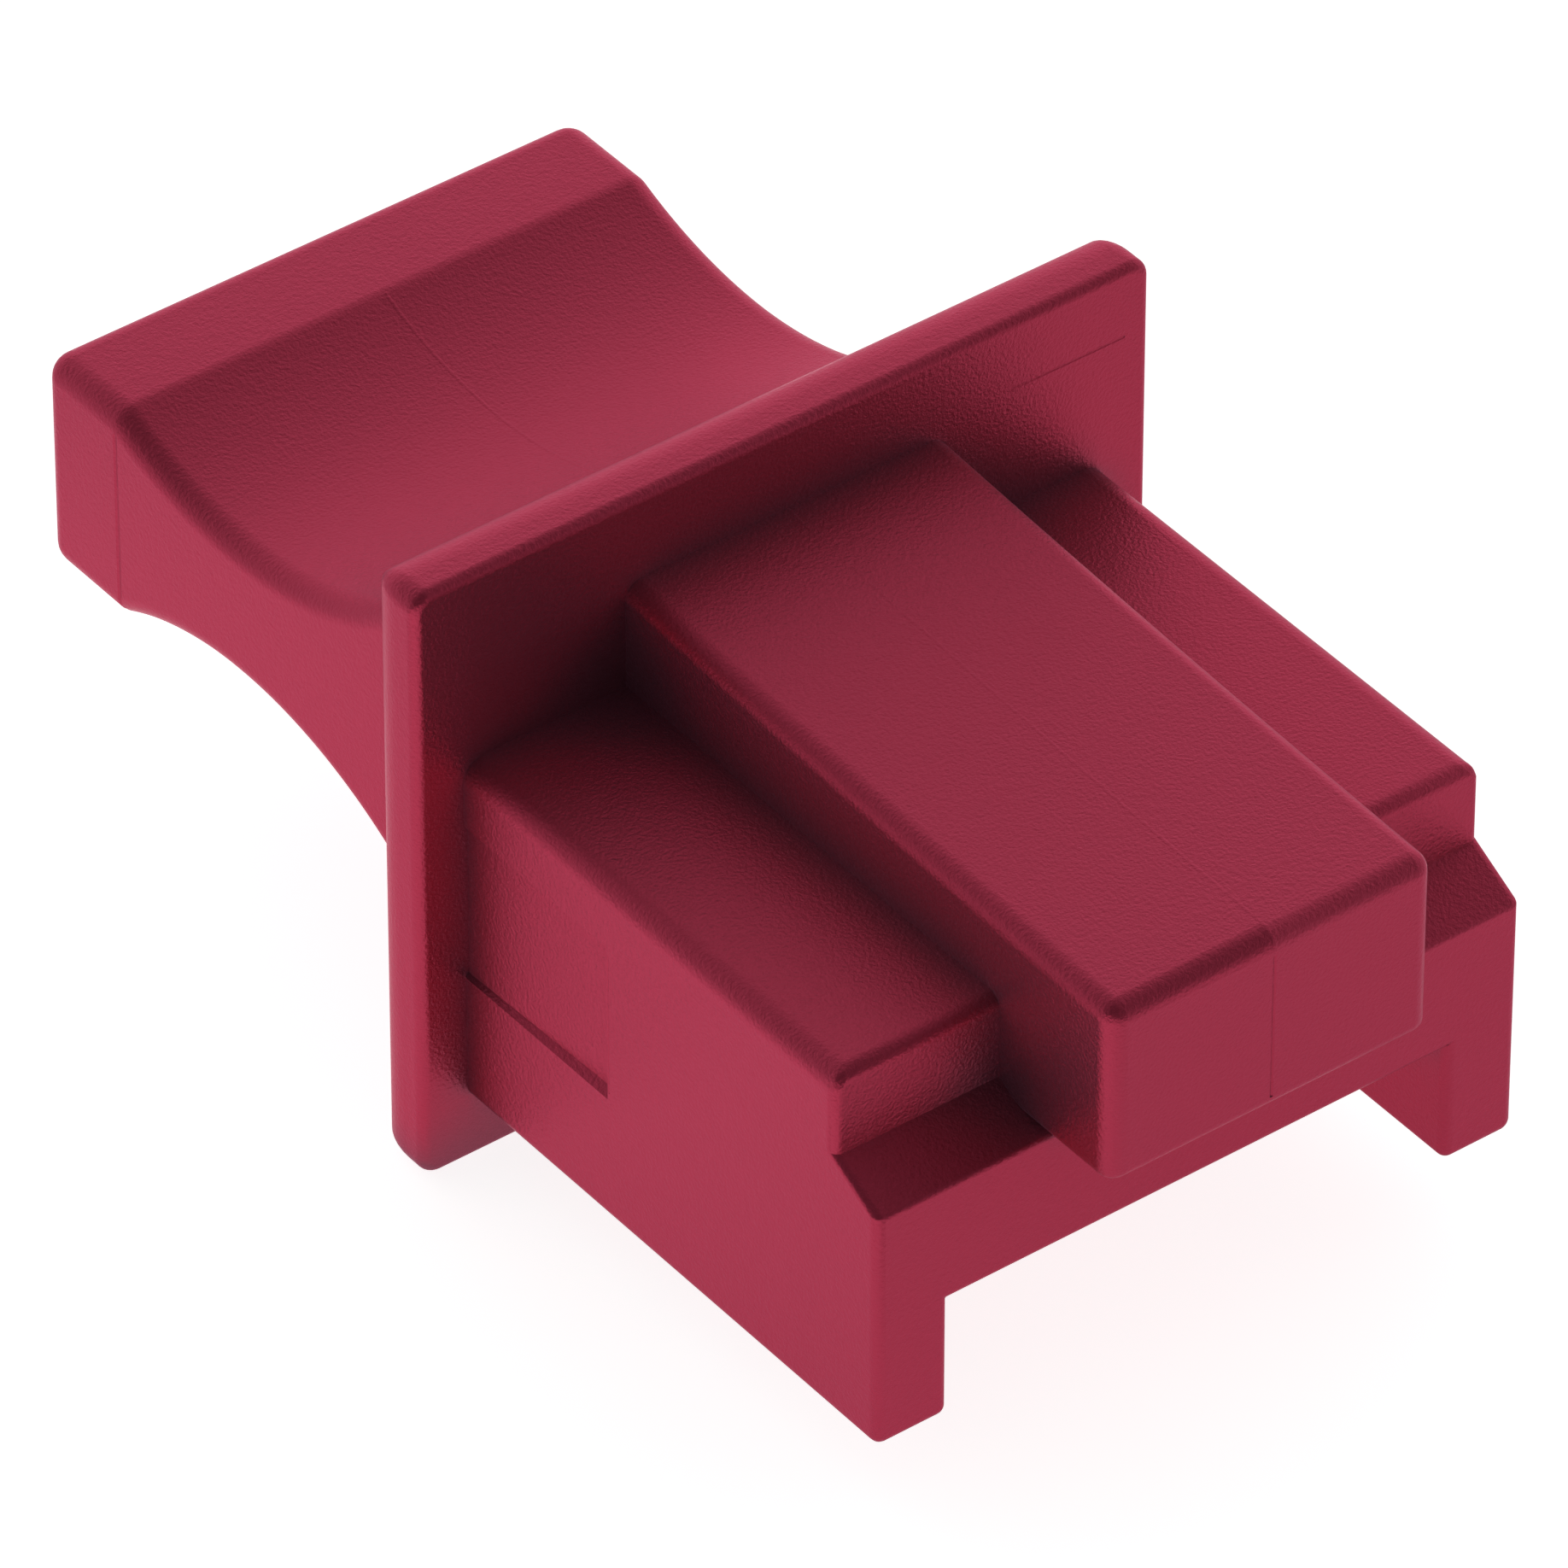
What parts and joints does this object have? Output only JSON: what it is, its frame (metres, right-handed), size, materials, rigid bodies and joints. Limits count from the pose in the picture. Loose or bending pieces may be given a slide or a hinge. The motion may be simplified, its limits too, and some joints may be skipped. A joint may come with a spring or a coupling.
{
  "type": "ethernet dust cover",
  "caption": "Red moulded dust cover that plugs an empty ethernet jack, with a finger grip behind its flange.",
  "frame": {"origin": "centre of the flange's seating face, the face that meets the jack", "axes": "-Y along the nose into the jack, +Y along the grip, +Z towards the latch tongue, X across"},
  "size_m": [0.0132, 0.0229, 0.0108],
  "materials": {
    "red_plastic": "fine matt moulded texture"
  },
  "bodies": {
    "root": {"dust_cover": "red_plastic"}
  },
  "joints": []
}
